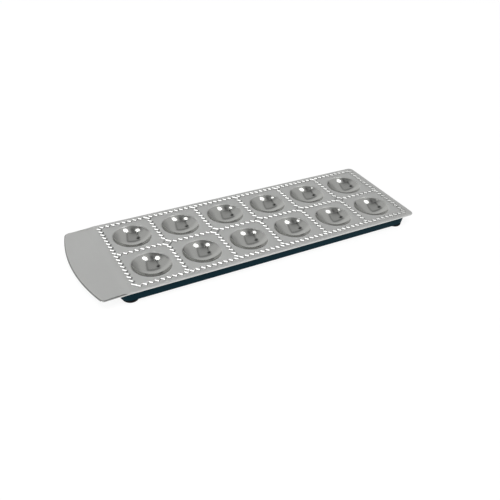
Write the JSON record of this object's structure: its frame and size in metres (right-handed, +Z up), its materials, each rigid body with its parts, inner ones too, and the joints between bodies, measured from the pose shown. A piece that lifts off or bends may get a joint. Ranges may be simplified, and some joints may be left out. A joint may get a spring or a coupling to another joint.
{
  "type": "ravioli mold",
  "caption": "Long flat ravioli mold: an aluminium plate with two rows of round hollows framed by zigzag ridges, a handle tab, and a dark base frame on low round feet.",
  "frame": {"origin": "centre of the bounding box's bottom face, on the surface that the mold stands on", "axes": "+X along the tray away from the handle tab, +Y across the tray, +Z up out of the hollows"},
  "size_m": [0.321, 0.104, 0.0136],
  "materials": {
    "aluminium_sheet": "pressed sheet, satin",
    "blue_plastic": "moulded, matt, dark blue",
    "black_rubber": "matt, near black"
  },
  "bodies": {
    "root": {"mould_plate": "aluminium_sheet", "base_frame": "blue_plastic", "foot_front_left": "black_rubber", "foot_front_right": "black_rubber", "foot_back_left": "black_rubber", "foot_back_right": "black_rubber"}
  },
  "joints": []
}
